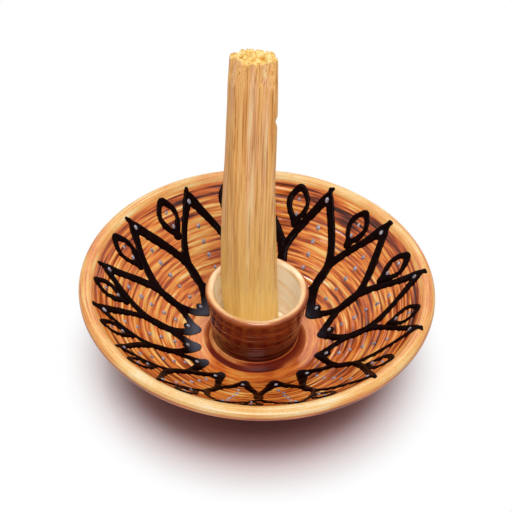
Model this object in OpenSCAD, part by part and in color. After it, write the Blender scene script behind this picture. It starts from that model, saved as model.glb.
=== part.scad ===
// Palo santo holder: a wheel-thrown glazed dish with a cup luted to its floor,
// slip-trailed petals, leaves and dots on its wall, and a split stick standing in the cup.
// Sizes are in millimetres. +Z is up, and the origin is the middle of the foot on the table.

/* [Stick] */
// Length of the stick
stick_l = 111; // [80:1:130]
// Width at the foot
stick_w = 18.8; // [14:0.1:22]
// Depth at the foot, front to back
stick_d = 9.4; // [7:0.1:12]
// Width at the broken top
stick_top_w = 14.4; // [9:0.1:17]
// Depth at the broken top
stick_top_d = 7.4; // [5:0.1:9]
// How far the foot stands to the left of the axis of the cup
stick_shift = 1.5; // [0:0.1:3]
// Sideways bow from the foot to the top
stick_bow = 2.5; // [0:0.1:4]
// Depth of the broken splinters at the top
break_depth = 1.6; // [0.4:0.1:3]

/* [Cup] */
// Clearance between the foot of the stick and the wall of the cup
stick_gap = 0.7; // [0.4:0.1:3]
// Thickness of the wall
cup_wall = 2.1; // [1.8:0.1:4]
// Thickness of the floor
cup_floor_t = 3; // [2:0.1:5]
// Height above the floor of the dish
cup_h = 22; // [16:0.5:30]
// Outward lean of the wall from the floor to the lip
cup_flare = 2.6; // [0.5:0.1:5]
// Height of the rounded lip
cup_lip_h = 1.3; // [0.8:0.1:2]
// How far the lip is drawn out past the wall
cup_lip_out = 0.2; // [0:0.1:1]
// Height of the drawn-out part of the wall below the top
cup_neck = 4; // [2.5:0.1:6]

/* [Slip ring] */
// Width of the slip ring on the floor of the dish
lute_w = 3.2; // [1.5:0.1:5]
// Height of the slip ring up the wall of the cup
lute_h = 2.2; // [1:0.1:4]
// Hollow of the face of the slip ring
lute_hollow = 0.4; // [0:0.05:0.5]

/* [Dish] */
// Diameter over the lip
dish_d = 115; // [100:1:130]
// Height from the table to the top of the lip
dish_h = 33.4; // [27:0.2:38]
// Width of the flat ring of floor around the slip ring
well_ring = 4.1; // [2:0.1:6]
// Thickness of the floor
floor_t = 5; // [4:0.1:7]
// Hollow of the inner wall below a straight line
wall_bow = 2.3; // [0:0.05:3]
// Hollow of the outer wall below a straight line
back_bow = 0.8; // [0:0.05:2]
// Thickness of the lip
lip_t = 4.6; // [3:0.1:5.5]
// Height of the rounded top of the lip
lip_h = 1.6; // [1:0.1:2.5]
// Height of the rounded edge of the lip on the outside
lip_drop = 3.4; // [2.8:0.1:6]
// How far that edge turns in below the lip
lip_tuck = 0.8; // [0.2:0.1:2]
// Outer diameter of the foot ring
foot_d = 52; // [44:1:60]
// Width of the foot ring
foot_w = 4; // [3:0.1:6]
// Height of the foot ring
foot_h = 3.4; // [2:0.1:5]
// Bevel on the edges of the foot ring
foot_bevel = 0.6; // [0.2:0.1:1]

/* [Trailed slip] */
// Number of petals round the wall
petals = 14; // [8:1:18]
// Width of a petal line
line_w = 2.4; // [1.4:0.1:3]
// Width of a leaf line
leaf_line_w = 1.8; // [1:0.1:2]
// Rise of the crest of the trailed lines above the wall
line_rise = 0.75; // [0.4:0.05:1.2]
// Rise of the flanks beside the crest
flank_rise = 0.45; // [0.2:0.05:0.8]
// Width of a flank
flank_w = 0.4; // [0.2:0.05:0.45]
// How far the inner tips of the petals stand inside the edge of the well
petal_start = 0; // [0:0.1:1.5]
// How far the ring of inner tips was drawn towards the front
inner_shift = 1.5; // [0:0.1:2]
// Width of a petal as a share of its space: over 1, neighbours run together
petal_spread = 1.05; // [0.9:0.01:1.1]
// Distance from the outer tips of the petals to the lip
petal_end = 1.3; // [0.4:0.1:4]
// How much shorter the shortest petal is than the longest
petal_vary = 0.8; // [0:0.1:2]
// Length of a leaf
leaf_l = 9; // [6:0.1:12]
// Width of a leaf, between the middles of its lines, as a share of a petal's space
leaf_spread = 0.27; // [0.17:0.01:0.3]
// Distance from the outer tip of a leaf to the lip
leaf_end = 1; // [0.6:0.1:4]
// Dots in each petal
petal_dots_n = 6; // [2:1:7]
// Diameter of a petal dot
petal_dot_d = 1.5; // [0.8:0.1:2.2]
// Distance from the inner tip of a petal to its first dot
dot_start = 7; // [5:0.1:9]
// Distance from the last dot of a petal to its outer tip
dot_end = 7.3; // [5:0.1:12]
// Dots in each leaf
leaf_dots_n = 2; // [1:1:3]
// Diameter of a leaf dot
leaf_dot_d = 1.1; // [0.6:0.1:1.4]
// Distance between the dots of a leaf
leaf_dot_pitch = 2.2; // [1.6:0.1:3]
// Rise of the dots above the wall
dot_rise = 0.6; // [0.3:0.05:1]
// Turn of the whole pattern, in degrees
pattern_turn = 10; // [0:1:25]
// Uneven spacing of the petals once round, in degrees
drift_once = 7.2; // [0:0.1:8]
// Uneven spacing of the petals twice round, in degrees
drift_twice = 2; // [0:0.1:4]

/* [Hidden] */
$fn = 96;

// Foot of the stick: corners of a split billet as shares of its half width and half depth,
// counter-clockwise from the front arris, which wanders to the left towards the top.
arris_foot = -0.33;
arris_top = -0.75;
stick_rings = 8;
bow_end = 0.8;
function stick_section(s) = [
    [arris_foot + (arris_top - arris_foot) * s, -1],
    [0.9, -0.92], [1, -0.1], [0.82, 0.8], [-0.45, 1], [-1, 0.25]
];
function stick_middle(s) = -stick_shift - stick_bow * sin(90 * min(1, s / bow_end));
function stick_half(s) = [
    (stick_w + (stick_top_w - stick_w) * s) / 2,
    (stick_d + (stick_top_d - stick_d) * s) / 2
];
function stick_ring(s) = [
    for (c = stick_section(s)) [stick_middle(s) + c[0] * stick_half(s)[0], c[1] * stick_half(s)[1]]
];
stick_reach = max([for (p = stick_ring(0)) norm(p)]);

// Levels and radii that follow from the sizes above
foot_r = foot_d / 2;
dish_r = dish_d / 2;
floor_z = foot_h + floor_t;
cup_floor_z = floor_z + cup_floor_t;
cup_top_z = floor_z + cup_h;
cup_floor_r = stick_reach + stick_gap;
cup_base_r = cup_floor_r + cup_wall;
well_r = cup_base_r + lute_w + well_ring;

// Points on a hollow line from a to b, bow below the straight line at its middle
function hollow(a, b, bow, n) = [
    for (k = [0:n]) let (t = k / n) a + t * (b - a) - [0, 4 * bow * t * (1 - t)]
];
// Points on an elliptic arc round c with half axes h, from angle a0 to a1
function arc(c, h, a0, a1, n) = [
    for (k = [0:n]) let (a = a0 + (a1 - a0) * k / n) c + [h[0] * cos(a), h[1] * sin(a)]
];
function reversed(p) = [for (k = [len(p) - 1:-1:0]) p[k]];
arc_steps = 5;

// Round of the lip, from the angle where the wall runs into it to its outer side
lip_from = 150;
lip_side_z = dish_h - lip_h;
lip_line = arc([dish_r - lip_t / 2, lip_side_z], [lip_t / 2, lip_h], lip_from, 0, arc_steps);
lip_in_r = lip_line[0][0];

wall_steps = 6;
wall_line = hollow([well_r, floor_z], lip_line[0], wall_bow, wall_steps);

// Angles on the outer edge of the lip, which turns in below its side
edge_from = -30;
edge_to = -60;

// Thrown dish: flat well, hollow flared wall, rounded lip, trimmed foot ring
module dish() {
    edge_mid = [dish_r - lip_tuck, lip_side_z];
    edge_end = [dish_r - lip_tuck, dish_h - lip_drop];
    color("peru")
        rotate_extrude()
            polygon(concat(
                [[0, foot_h], [0, floor_z]],
                wall_line,
                [for (k = [1:arc_steps]) lip_line[k]],
                arc(edge_mid, [lip_tuck, lip_drop - lip_h], edge_from, edge_to, 1),
                reversed(hollow([foot_r, foot_h], edge_end, back_bow, wall_steps)),
                [
                    [foot_r, foot_bevel], [foot_r - foot_bevel, 0],
                    [foot_r - foot_w + foot_bevel, 0], [foot_r - foot_w, foot_bevel],
                    [foot_r - foot_w, foot_h]
                ]
            ));
}

// Radius of the outside of the cup at height h above the floor of the dish
cup_lean = cup_flare / (cup_h - cup_floor_t);
function cup_outside(h) = cup_base_r + cup_lean * h;

// Thrown cup: leaning wall, flat floor, rounded lip drawn out a little
module holder_cup() {
    lip_z = cup_top_z - cup_lip_h;
    lip_out = cup_outside(cup_h - cup_lip_h) + cup_lip_out;
    mouth_r = cup_floor_r + cup_lean * (cup_h - cup_lip_h - cup_floor_t);
    lip_half = (lip_out - mouth_r) / 2;
    neck_h = cup_h - cup_neck;
    color("sienna")
        rotate_extrude()
            polygon(concat(
                [[0, floor_z], [cup_base_r, floor_z], [cup_outside(neck_h), floor_z + neck_h]],
                arc([mouth_r + lip_half, lip_z], [lip_half, cup_lip_h], 0, 180, arc_steps + 1),
                [[cup_floor_r, cup_floor_z], [0, cup_floor_z]]
            ));
}

// Slip wiped round the foot of the cup, with the glaze pooled in its hollow
module luting_ring() {
    top = [cup_outside(lute_h), floor_z + lute_h];
    edge = [cup_base_r + lute_w, floor_z];
    color("saddlebrown")
        rotate_extrude()
            polygon(concat([[cup_base_r, floor_z]], hollow(edge, top, lute_hollow, arc_steps)));
}

// Hand-spaced azimuth of a point that an even pattern would put at azimuth a
drift_once_at = -20;
drift_twice_at = 146;
function hand_az(a) =
    a + pattern_turn + drift_once * sin(a + drift_once_at) + drift_twice * sin(2 * a + drift_twice_at);
function heading(a) = [cos(hand_az(a)), sin(hand_az(a))];
// Shift of the pattern at radius r, from none at the lip to all of it at the inner tips
petal_in_r = well_r - petal_start;
function drawn_in(r) = [0, -inner_shift * (lip_in_r - r) / (lip_in_r - petal_in_r)];
function trail(r, a) = r * heading(a) + drawn_in(r);

// A pointed loop has a belly, the share of its length where it is widest, and a point, the power
// that sharpens its tips. One side of it runs from radius r0 to r1 beside azimuth a.
loop_steps = 11;
step_power = 1.25;
function loop_half(t, belly, point) = pow(sin(180 * pow(t, ln(0.5) / ln(belly))), point);
function loop_side(r0, r1, a, half, belly, point, side) = [
    for (k = [0:loop_steps])
        let (t = pow(k / loop_steps, step_power))
            trail(r0 + t * (r1 - r0), a + side * half * loop_half(t, belly, point))
];
// The same side moved by d to its left
function beside(line, d) = [
    for (k = [1:len(line) - 2])
        let (v = line[k + 1] - line[k - 1])
            line[k] + d * [-v[1], v[0]] / norm(v)
];
// Those points of a moved side that have not crossed the middle of the loop
hole_least = 0.25;
function open_points(line, a, side) = [
    for (p = line) if (side * cross(heading(a), p - drawn_in(norm(p))) > hole_least) p
];
module loop(r0, r1, a, half, belly, point, w) {
    left = loop_side(r0, r1, a, half, belly, point, 1);
    right = loop_side(r0, r1, a, half, belly, point, -1);
    hole_left = open_points(beside(left, -w / 2), a, 1);
    hole_right = open_points(beside(right, w / 2), a, -1);
    difference() {
        polygon(concat(
            [trail(r0 - w / 2, a)], beside(right, -w / 2),
            [trail(r1 + w / 2, a)], reversed(beside(left, w / 2))
        ));
        polygon(concat(hole_right, reversed(hole_left)));
    }
}

petal_step = 360 / petals;
petal_belly = 0.36;
petal_point = 1.25;
petal_half = petal_spread * petal_step / 2;
// Lengths of the petals vary as the hand did
vary_turn = 137;
function petal_tip_r(k) = lip_in_r - petal_end - petal_vary * (1 + sin(k * vary_turn)) / 2;

leaf_belly = 0.55;
leaf_point = 0.9;
// Leaves stand a little to one side of the middle between two petals
leaf_lean = -0.1;
leaf_out_r = lip_in_r - leaf_end;
leaf_in_r = leaf_out_r - leaf_l;
leaf_mid_r = leaf_in_r + leaf_belly * leaf_l;
leaf_half = leaf_spread * petal_step / 2;
function leaf_az(k) = (k + 0.5 + leaf_lean) * petal_step;

// Slip trailed on the wall, from the floor beside the slip ring to the lip: the flat outline of
// the children, standing rise above the clay and seated on it
slip_clear = 0.3;
module trailed(rise) {
    ground = concat([[well_r - well_ring + slip_clear, floor_z]], wall_line);
    intersection() {
        rotate_extrude()
            polygon(concat(ground, reversed([for (p = ground) p + [0, rise]])));
        linear_extrude(dish_h + rise)
            children();
    }
}

// Petal outlines, run together where neighbours touch: a crest between two lower flanks
module petal_shapes(w) {
    for (k = [0:petals - 1])
        loop(petal_in_r, petal_tip_r(k), k * petal_step, petal_half, petal_belly, petal_point, w);
}
module petal_lines() {
    color("black") {
        trailed(flank_rise)
            petal_shapes(line_w);
        trailed(line_rise)
            petal_shapes(line_w - 2 * flank_w);
    }
}

// Leaf outlines between the outer tips of the petals, which stop at a petal line they meet
module leaf_shapes(w) {
    difference() {
        for (k = [0:petals - 1])
            loop(leaf_in_r, leaf_out_r, leaf_az(k), leaf_half, leaf_belly, leaf_point, w);
        petal_shapes(line_w);
    }
}
module leaf_loops() {
    color("black") {
        trailed(flank_rise)
            leaf_shapes(leaf_line_w);
        trailed(line_rise)
            leaf_shapes(leaf_line_w - 2 * flank_w);
    }
}

// Row of n dots from radius r0 to r1 along azimuth a
dot_sides = 32;
module dot_row(n, r0, r1, a, d) {
    for (k = [0:n - 1])
        translate(trail(r0 + (r1 - r0) * k / max(1, n - 1), a))
            circle(d = d, $fn = dot_sides);
}

// Row of dots along the middle of each petal
module petal_dots() {
    color("lightsteelblue")
        trailed(dot_rise)
            for (k = [0:petals - 1])
                dot_row(
                    petal_dots_n, petal_in_r + dot_start, petal_tip_r(k) - dot_end,
                    k * petal_step, petal_dot_d
                );
}

// Dots in the middle of each leaf
module leaf_dots() {
    reach = (leaf_dots_n - 1) * leaf_dot_pitch / 2;
    color("lightsteelblue")
        trailed(dot_rise)
            for (k = [0:petals - 1])
                dot_row(leaf_dots_n, leaf_mid_r - reach, leaf_mid_r + reach, leaf_az(k), leaf_dot_d);
}

// Split stick: flat-footed, faceted along the grain, narrowing to a broken top
module palo_santo_stick() {
    sides = len(stick_section(0));
    last = stick_rings * sides;
    body = [
        for (j = [0:stick_rings])
            let (s = j / stick_rings)
                for (k = [0:sides - 1])
                    let (broken = j == stick_rings ? break_depth * (k % 2) : 0)
                        concat(stick_ring(s)[k], cup_floor_z + s * stick_l - broken)
    ];
    tip = [stick_middle(1), 0, cup_floor_z + stick_l - break_depth / 2];
    flanks = [
        for (j = [0:stick_rings - 1])
            for (k = [0:sides - 1])
                let (a = j * sides + k, b = j * sides + (k + 1) % sides)
                    each [[a, a + sides, b + sides], [a, b + sides, b]]
    ];
    crown = [for (k = [0:sides - 1]) [last + (k + 1) % sides, last + k, last + sides]];
    color("burlywood")
        polyhedron(concat(body, [tip]), concat([[for (k = [0:sides - 1]) k]], flanks, crown));
}

dish();
holder_cup();
luting_ring();
petal_lines();
leaf_loops();
petal_dots();
leaf_dots();
palo_santo_stick();
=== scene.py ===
import math

import bpy
import numpy as np
from mathutils import Matrix, Vector


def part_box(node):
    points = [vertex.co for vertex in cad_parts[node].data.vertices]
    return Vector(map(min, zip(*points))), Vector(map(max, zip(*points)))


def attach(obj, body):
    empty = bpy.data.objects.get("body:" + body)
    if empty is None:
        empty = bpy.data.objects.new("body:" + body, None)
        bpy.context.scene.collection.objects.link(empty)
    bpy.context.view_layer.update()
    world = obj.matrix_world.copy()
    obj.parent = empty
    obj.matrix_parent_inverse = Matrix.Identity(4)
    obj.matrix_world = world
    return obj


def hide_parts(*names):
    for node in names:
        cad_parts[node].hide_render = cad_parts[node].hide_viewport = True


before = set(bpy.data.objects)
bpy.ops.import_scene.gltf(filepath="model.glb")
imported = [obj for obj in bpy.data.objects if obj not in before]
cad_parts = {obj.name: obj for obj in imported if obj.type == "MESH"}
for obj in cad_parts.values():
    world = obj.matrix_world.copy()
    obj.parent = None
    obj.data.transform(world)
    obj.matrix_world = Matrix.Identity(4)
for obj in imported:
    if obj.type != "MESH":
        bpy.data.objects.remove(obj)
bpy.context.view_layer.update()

# Dish: earthenware thrown on a wheel in one piece, with a flat well, a flared wall and a rolled lip.
# The wall keeps the lines of the potter's fingers, and the foot ring is trimmed when leather-hard.
# It is dipped in amber glaze, and the foot is wiped bare.
MM = 0.001
# The dish stays this far inside the box of its solid
inside_box = 0.03
dish_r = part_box("dish")[1].x / MM - inside_box
dish_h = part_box("dish")[1].z / MM
floor_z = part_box("holder_cup")[0].z / MM
lute_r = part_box("luting_ring")[1].x / MM
well_ring = 4.1
well_r = lute_r + well_ring
lip_t = 4.6
lip_h = 1.6
lip_from = 150
edge_from = -10
edge_to = -80
lip_mid_r = dish_r - lip_t / 2
lip_side_z = dish_h - lip_h
lip_in_r = lip_mid_r + lip_t / 2 * math.cos(math.radians(lip_from))
lip_in_z = lip_side_z + lip_h * math.sin(math.radians(lip_from))
lip_drop = 3.4
lip_tuck = 0.8
wall_bow = 2.3
back_bow = 0.8
foot_r = 26.0
foot_w = 4.0
foot_h = 3.4
foot_bevel = 0.6
sponge_spread = 0.28
dish_around = 288
dish_rings = (26, 116, 44, 10, 70, 36, 8)
# Pitch and share of each wave of the finger lines, on the wall and on the lip
wall_waves = ((2.7, 1.0), (1.75, 0.6), (4.6, 0.7))
lip_waves = ((0.9, 1.0), (0.62, 0.8), (1.5, 0.8))
lip_wave_depth = 0.1
left_thin = 0.05
lip_bare = 0.25


def hollow(start, end, bow, count):
    """Points on a line from start to end that sags by bow in its middle, by 4 bow t (1 - t) at share t."""
    t = np.linspace(0.0, 1.0, count)[:, None]
    straight = np.array(start) + t * (np.array(end) - np.array(start))
    return straight - t * (1 - t) * np.array([0.0, 4 * bow])


def arc(middle, half_axes, first, last, count):
    """Points on an ellipse round middle with those half axes, from angle first to last in degrees."""
    a = np.radians(np.linspace(first, last, count))
    return np.stack([middle[0] + half_axes[0] * np.cos(a), middle[1] + half_axes[1] * np.sin(a)], axis=1)


def thrown_outline(stretches, counts, spread):
    """A potter's outline from the axis round to the axis again, as radius, height and length along it.

    The stretches are joined and drawn again at an even step. Each point becomes the mean of its
    neighbours under a bell curve of that spread, which softens the corners as a sponge does. Each
    stretch then gives as many rings as its count says.
    """
    step = 0.1
    line = np.concatenate(stretches)
    length = np.concatenate([[0.0], np.cumsum(np.hypot(*np.diff(line, axis=0).T))])
    ends = length[np.cumsum([len(s) for s in stretches]) - 1]
    even = np.arange(0.0, length[-1], step)
    fine = np.stack([np.interp(even, length, line[:, 0]), np.interp(even, length, line[:, 1])], axis=1)
    reach = int(3 * spread / step)
    bell = np.exp(-0.5 * (np.arange(-reach, reach + 1) * step / spread) ** 2)
    padded = np.pad(fine, ((reach, reach), (0, 0)), mode="reflect", reflect_type="odd")
    soft = [np.convolve(padded[:, k], bell / bell.sum(), "valid") for k in (0, 1)]
    starts = np.concatenate([[0.0], ends[:-1]])
    along = np.concatenate([np.linspace(a, b, n, endpoint=False) for a, b, n in zip(starts, ends, counts)])
    along = np.append(along, even[-1])
    return np.interp(along, even, soft[0]), np.interp(along, even, soft[1]), along, ends


def turned(r, z, lift, around):
    """Points of a pot: the outline r, z carried round the axis, pushed outwards along its normal by lift.

    The normal of the outline is its tangent turned a quarter to the left. The two ends lie on the axis.
    """
    turn = np.linspace(0.0, 2 * np.pi, around, endpoint=False)
    tangent = np.stack([np.gradient(r), np.gradient(z)])
    tangent /= np.hypot(*tangent)
    radius = r[:, None] - tangent[1][:, None] * lift
    height = z[:, None] + tangent[0][:, None] * lift
    radius[[0, -1]] = 0.0
    rings = np.stack([radius * np.cos(turn), radius * np.sin(turn), height + 0 * turn], axis=-1)
    return np.concatenate([rings[1:-1].reshape(-1, 3), rings[[0, -1], 0]])


def ring_quads(rings, around):
    """Quads between each two neighbouring rings of points, wrapped round the axis."""
    i, j = np.meshgrid(np.arange(rings - 1), np.arange(around), indexing="ij")
    a = i * around + j
    b = i * around + (j + 1) % around
    return np.stack([a, a + around, b + around, b], axis=-1).reshape(-1, 4)


def turned_faces(rings, around):
    """Faces of a pot: the quads between its rings, and a fan of triangles at each pole."""
    j = np.arange(around)
    pole = rings * around
    last = (rings - 1) * around
    top = np.stack([np.full(around, pole), j, (j + 1) % around], axis=-1)
    bottom = np.stack([last + j, np.full(around, pole + 1), last + (j + 1) % around], axis=-1)
    return ring_quads(rings, around).tolist() + top.tolist() + bottom.tolist()


def ring_marks(values, around):
    """One value for each point of a pot from an array of rings by turns, poles last."""
    values = np.broadcast_to(values, (len(values), around))
    return np.concatenate([values[1:-1].ravel(), values[[0, -1], 0]])


def make_piece(name, points, faces, material, **marks):
    """A mesh object at the origin from points in millimetres, with a float attribute for each mark."""
    mesh = bpy.data.meshes.new(name)
    mesh.from_pydata((np.asarray(points) * MM).tolist(), [], faces)
    for mark, values in marks.items():
        layer = mesh.attributes.new(mark, "FLOAT", "POINT")
        layer.data.foreach_set("value", np.asarray(values, dtype=np.float32))
    mesh.polygons.foreach_set("use_smooth", np.ones(len(mesh.polygons), dtype=bool))
    mesh.materials.append(material)
    mesh.update()
    piece = bpy.data.objects.new(name, mesh)
    bpy.context.scene.collection.objects.link(piece)
    return piece


def colour(code):
    """Linear RGBA of an sRGB hex colour: c / 12.92 below 0.04045, else ((c + 0.055) / 1.055) ** 2.4."""
    parts = [int(code[k:k + 2], 16) / 255 for k in (1, 3, 5)]
    return [c / 12.92 if c <= 0.04045 else ((c + 0.055) / 1.055) ** 2.4 for c in parts] + [1.0]


def add_node(tree, kind, inputs=None, stops=None, **settings):
    """Adds one node with its settings. An input that is a socket is linked, and a value is set.

    Stops are the places and hex colours of a colour ramp.
    """
    made = tree.nodes.new(kind)
    for name, value in settings.items():
        setattr(made, name, value)
    for name, value in (inputs or {}).items():
        if isinstance(value, bpy.types.NodeSocket):
            tree.links.new(value, made.inputs[name])
        else:
            made.inputs[name].default_value = value
    for k, (place, code) in enumerate(stops or []):
        spot = made.color_ramp.elements[k] if k < 2 else made.color_ramp.elements.new(place)
        spot.position = place
        spot.color = colour(code)
    return made


def new_material(name):
    """An empty node material: its tree and its Principled shader, which the caller sets and links."""
    material = bpy.data.materials.new(name)
    material.use_nodes = True
    return material, material.node_tree, material.node_tree.nodes["Principled BSDF"]


def finger_lines(along, turn, pitches):
    """Height of throwing lines, from -1 to 1: waves of unlike pitch along the wall.

    Each wave winds round the pot as a slow spiral and sways once or twice on the way, so that the lines
    run together and part again.
    """
    total = 0.0
    for k, (pitch, share) in enumerate(pitches):
        spiral = turn * (1 if k % 2 else -1)
        sway = 0.9 * np.sin(turn + 2.1 * k) + 0.5 * np.sin(2 * turn + 1.3 * k)
        total = total + share * np.sin(2 * np.pi * along / pitch + spiral + sway)
    return total / sum(share for _, share in pitches)


edge_end = (dish_r - lip_tuck, dish_h - lip_drop)
foot_in_r = foot_r - foot_w
dish_stretches = [
    np.array([[0.0, floor_z], [well_r, floor_z]]),
    hollow((well_r, floor_z), (lip_in_r, lip_in_z), wall_bow, 60),
    arc((lip_mid_r, lip_side_z), (lip_t / 2, lip_h), lip_from, 0, 30),
    arc((dish_r - lip_tuck, lip_side_z), (lip_tuck, lip_drop - lip_h), edge_from, edge_to, 12),
    hollow(edge_end, (foot_r, foot_h), back_bow, 60),
    np.array([
        [foot_r, foot_h], [foot_r, foot_bevel], [foot_r - foot_bevel, 0.0],
        [foot_in_r + foot_bevel, 0.0], [foot_in_r, foot_bevel], [foot_in_r, foot_h],
    ]),
    np.array([[foot_in_r, foot_h], [0.0, foot_h]]),
]
r, z, along, ends = thrown_outline(dish_stretches, dish_rings, sponge_spread)
well_end, wall_end, lip_end, edge_done, back_end, foot_end = ends[:6]
turn = np.linspace(0.0, 2 * np.pi, dish_around, endpoint=False)
lines = finger_lines(along[:, None], turn, wall_waves)
line_height = np.interp(
    along,
    [
        well_end - 4, well_end + 3, wall_end - 5, wall_end - 1,
        edge_done, edge_done + 4, back_end - 3, back_end,
    ],
    [0.02, 0.17, 0.2, 0.0, 0.0, 0.12, 0.1, 0.0],
)
# Depth of the glaze, from 0 where it runs thin to 1 where it pools. It runs off the crests of the
# finger lines, is a little thinner on the left, and lies in patches on the lip. The lip is also painted
# paler at the front and the back, a painted highlight where its top faces the light, and deeper at the
# sides.
# The dark glaze just past the outer edge of the lip, at lip_end + 0.5, is in part painted shade under the
# lip
depth = np.interp(
    along,
    [
        0, well_end - 3, well_end + 2, wall_end - 9, wall_end - 4, wall_end - 1.8, wall_end - 0.6,
        lip_end - 0.6, lip_end + 0.5, edge_done, edge_done + 2, back_end,
    ],
    [0.45, 0.45, 0.48, 0.51, 0.64, 0.6, 0.27, 0.18, 0.66, 0.58, 0.52, 0.6],
)
depth = depth[:, None] - lines * np.interp(line_height, [0.0, 0.2], [0.02, 0.17])[:, None]
on_wall = np.interp(along, [well_end, well_end + 6, wall_end - 5, wall_end - 1], [0, 1, 1, 0])
depth = depth + left_thin * on_wall[:, None] * np.cos(turn)
on_lip = np.interp(along, [wall_end - 1.5, wall_end, lip_end, lip_end + 1], [0, 1, 1, 0])
# The wave that goes twice round is a painted highlight, pale at the front and back of the lip; the others
# are patches of glaze
lip_patches_and_highlight = 0.02 + 0.09 * np.cos(2 * turn) + 0.03 * np.sin(4 * turn) + 0.02 * np.sin(11 * turn)
depth = depth + on_lip[:, None] * lip_patches_and_highlight
lip_lines = finger_lines(along[:, None], turn, lip_waves)
depth = depth + lip_wave_depth * on_lip[:, None] * lip_lines
# How bare of glaze the clay is: all of the foot ring, and a quarter on the lip, where it is dry and grainy
on_foot = np.interp(along, [back_end - 0.4, back_end + 0.4, foot_end + 1, foot_end + 2], [0, 1, 1, 0])
bare = on_foot + lip_bare * on_lip
dish_points = turned(r, z, lines * line_height[:, None], dish_around)

# Amber glaze over earthenware: glassy, thin and pale on edges, dark red-brown where it pools. The
# wheel draws it out into long streaks, 1.8 mm apart, that run round the pot, and it breaks to cream
# along fine ridges, 0.8 mm apart. The clay, where it shows, is matt with a grain of 0.6 mm.
streak_pitch = 1.8
streak_stretch = 2.2
ridge_pitch = 0.8
ridge_stretch = 3.0
cloud_size = 16
grain_size = 0.6


def drawn_round(tree, along_mark, pitch, stretch, detail, roughness):
    """A noise that the wheel has drawn out round the pot.

    Its place is the direction from the axis times the stretch, with the length along the outline over the
    pitch as its height, so that streaks lie a pitch apart and run round.
    """
    place = add_node(tree, "ShaderNodeTexCoord").outputs["Object"]
    flat = add_node(tree, "ShaderNodeVectorMath", {0: place, 1: (1, 1, 0)}, operation="MULTIPLY")
    way = add_node(tree, "ShaderNodeVectorMath", {0: flat.outputs[0]}, operation="NORMALIZE")
    up = add_node(tree, "ShaderNodeMath", {0: along_mark, 1: pitch}, operation="DIVIDE")
    lift = add_node(tree, "ShaderNodeCombineXYZ", {"Z": up.outputs[0]})
    drawn = add_node(
        tree, "ShaderNodeVectorMath",
        {0: way.outputs[0], 1: (stretch,) * 3, 2: lift.outputs[0]}, operation="MULTIPLY_ADD",
    )
    return add_node(
        tree, "ShaderNodeTexNoise",
        {"Vector": drawn.outputs[0], "Scale": 1.0, "Detail": detail, "Roughness": roughness},
    )


amber_glaze, tree, shader = new_material("amber_glaze_on_earthenware")
place = add_node(tree, "ShaderNodeTexCoord").outputs["Object"]
depth_mark = add_node(tree, "ShaderNodeAttribute", attribute_name="depth").outputs["Fac"]
along_mark = add_node(tree, "ShaderNodeAttribute", attribute_name="along").outputs["Fac"]
bare_mark = add_node(tree, "ShaderNodeAttribute", attribute_name="bare").outputs["Fac"]
streaks = drawn_round(tree, along_mark, streak_pitch, streak_stretch, 3.0, 0.55)
ridges = drawn_round(tree, along_mark, ridge_pitch, ridge_stretch, 2.0, 0.5)
clouds = add_node(
    tree, "ShaderNodeTexNoise", {"Vector": place, "Scale": 1 / (cloud_size * MM), "Detail": 2.0}
)
dark_streak = add_node(
    tree, "ShaderNodeMapRange",
    {"Value": streaks.outputs["Fac"], "From Min": 0.5, "From Max": 0.7, "To Min": 0.0, "To Max": 0.62},
)
pale_streak = add_node(
    tree, "ShaderNodeMapRange",
    {"Value": streaks.outputs["Fac"], "From Min": 0.28, "From Max": 0.45, "To Min": -0.6, "To Max": 0.0},
)
ridge_share = add_node(
    tree, "ShaderNodeMapRange",
    {"Value": ridges.outputs["Fac"], "From Min": 0.34, "From Max": 0.68, "To Min": 0.36, "To Max": -0.5},
)
streak_sum = add_node(
    tree, "ShaderNodeMath", {0: dark_streak.outputs[0], 1: pale_streak.outputs[0]}, operation="ADD"
)
all_streaks = add_node(
    tree, "ShaderNodeMath", {0: streak_sum.outputs[0], 1: ridge_share.outputs[0]}, operation="ADD"
)
wall_share = add_node(
    tree, "ShaderNodeMapRange",
    {"Value": along_mark, "From Min": well_end - 1, "From Max": well_end + 5, "To Min": 0.4, "To Max": 1.0},
)
streak_share = add_node(
    tree, "ShaderNodeMath", {0: all_streaks.outputs[0], 1: wall_share.outputs[0]}, operation="MULTIPLY"
)
cloud_share = add_node(
    tree, "ShaderNodeMapRange",
    {"Value": clouds.outputs["Fac"], "From Min": 0.3, "From Max": 0.7, "To Min": -0.1, "To Max": 0.1},
)
streaked = add_node(
    tree, "ShaderNodeMath", {0: streak_share.outputs[0], 1: depth_mark, 2: depth_mark},
    operation="MULTIPLY_ADD",
)
pooled = add_node(
    tree, "ShaderNodeMath", {0: streaked.outputs[0], 1: cloud_share.outputs[0]}, operation="ADD"
)
clay = add_node(
    tree, "ShaderNodeTexNoise",
    {"Vector": place, "Scale": 1 / (grain_size * MM), "Detail": 3.0, "Roughness": 0.7},
)
grain_share = add_node(
    tree, "ShaderNodeMapRange",
    {"Value": clay.outputs["Fac"], "From Min": 0.32, "From Max": 0.68, "To Min": -0.4, "To Max": 0.4},
)
grained = add_node(
    tree, "ShaderNodeMath", {0: grain_share.outputs[0], 1: bare_mark, 2: pooled.outputs[0]},
    operation="MULTIPLY_ADD",
)
amber = add_node(
    tree, "ShaderNodeValToRGB", {"Fac": grained.outputs[0]},
    stops=[
        (0.0, "#F3DDB4"), (1.0, "#2C0E08"), (0.14, "#EEC67C"), (0.28, "#E6A44E"), (0.42, "#DE8034"),
        (0.56, "#C45E24"), (0.7, "#963F14"), (0.85, "#5E200A"),
    ],
)
clay_tone = add_node(
    tree, "ShaderNodeValToRGB", {"Fac": clay.outputs["Fac"]}, stops=[(0.3, "#A9835C"), (0.7, "#D0AC82")]
)
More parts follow.
